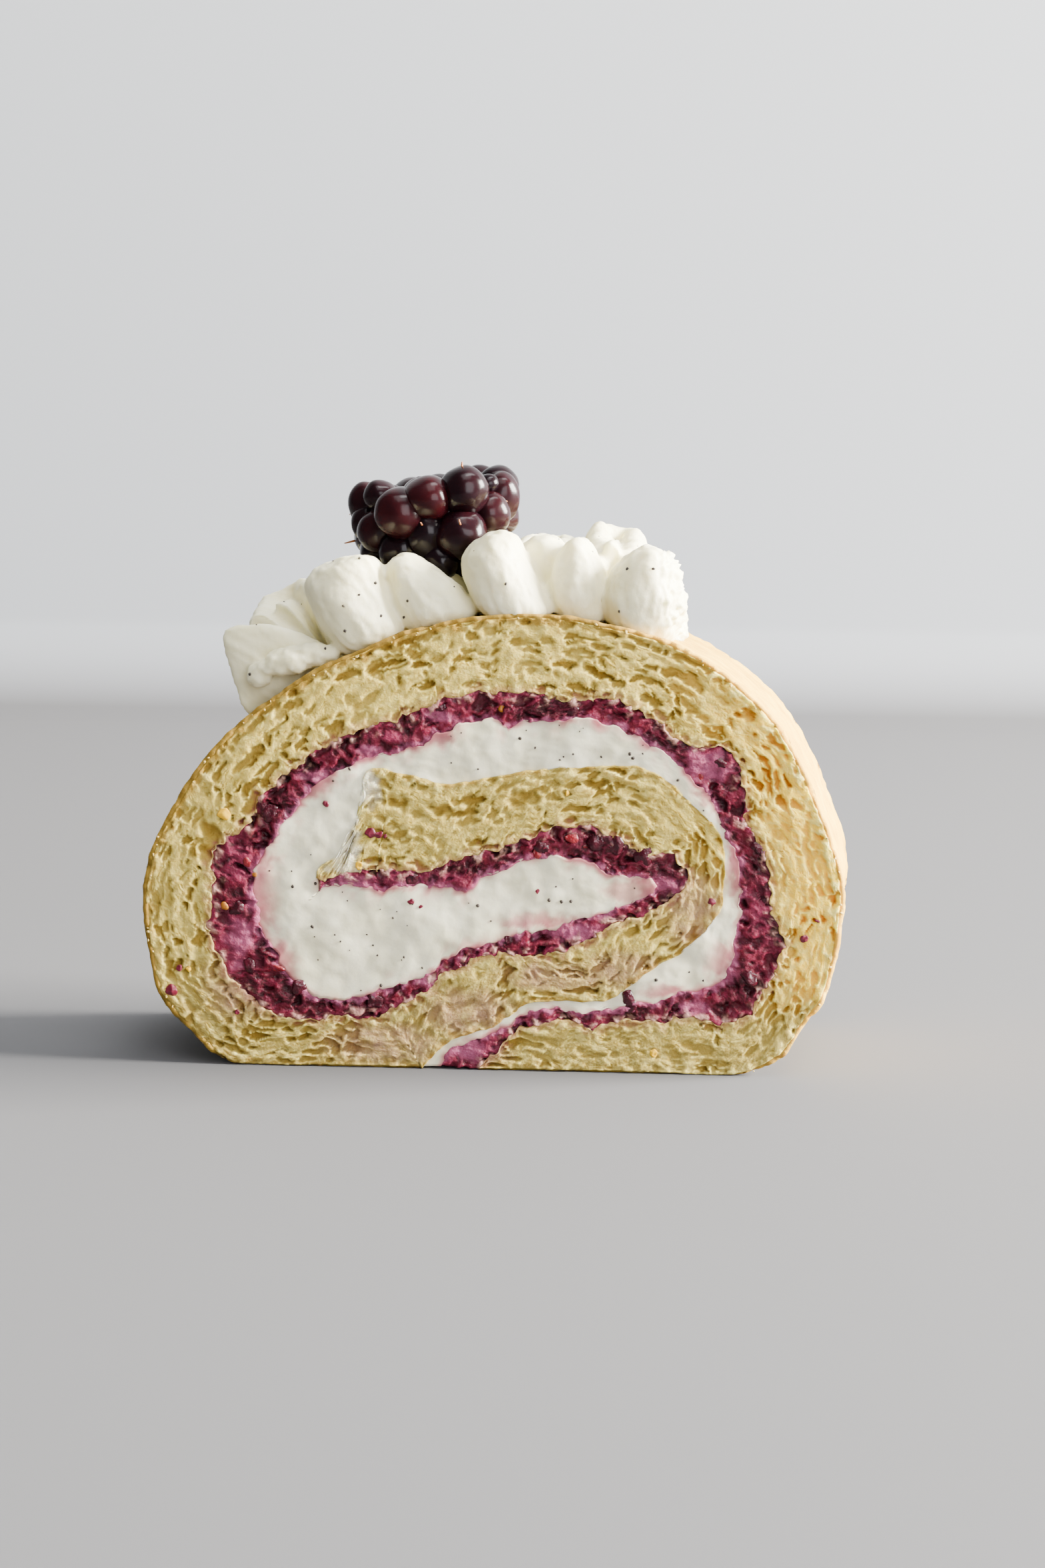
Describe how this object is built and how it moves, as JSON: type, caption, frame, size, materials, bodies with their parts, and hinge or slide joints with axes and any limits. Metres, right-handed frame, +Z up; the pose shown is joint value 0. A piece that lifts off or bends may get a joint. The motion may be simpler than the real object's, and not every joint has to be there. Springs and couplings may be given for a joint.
{
  "type": "swiss roll cake",
  "caption": "Slice of swiss roll: pale sponge rolled with berry jam and cream, topped with a piped ribbon of cream and a dark berry.",
  "frame": {"origin": "middle of the slice's footprint, on the surface that it rests on", "axes": "+X across the roll to the right as seen from the cut face, +Y from the cut face in the picture to the one behind, along the roll's axis, +Z up"},
  "size_m": [0.086, 0.03, 0.0736],
  "materials": {
    "sponge": "open, moist pale yellow crumb inside a thin golden-brown crust",
    "jam": "wet, grainy magenta-red fruit with dark glossy bits",
    "filling": "smooth off-white whipped cream with dark vanilla specks",
    "piped_cream": "smooth satin white whipped cream with a few dark vanilla specks",
    "berry": "nearly black, dark red drupelets with a soft shine"
  },
  "bodies": {
    "root": {"sponge": "sponge", "berry_jam": "jam", "cream_filling": "filling", "piped_cream": "piped_cream", "dark_berry": "berry"}
  },
  "joints": []
}
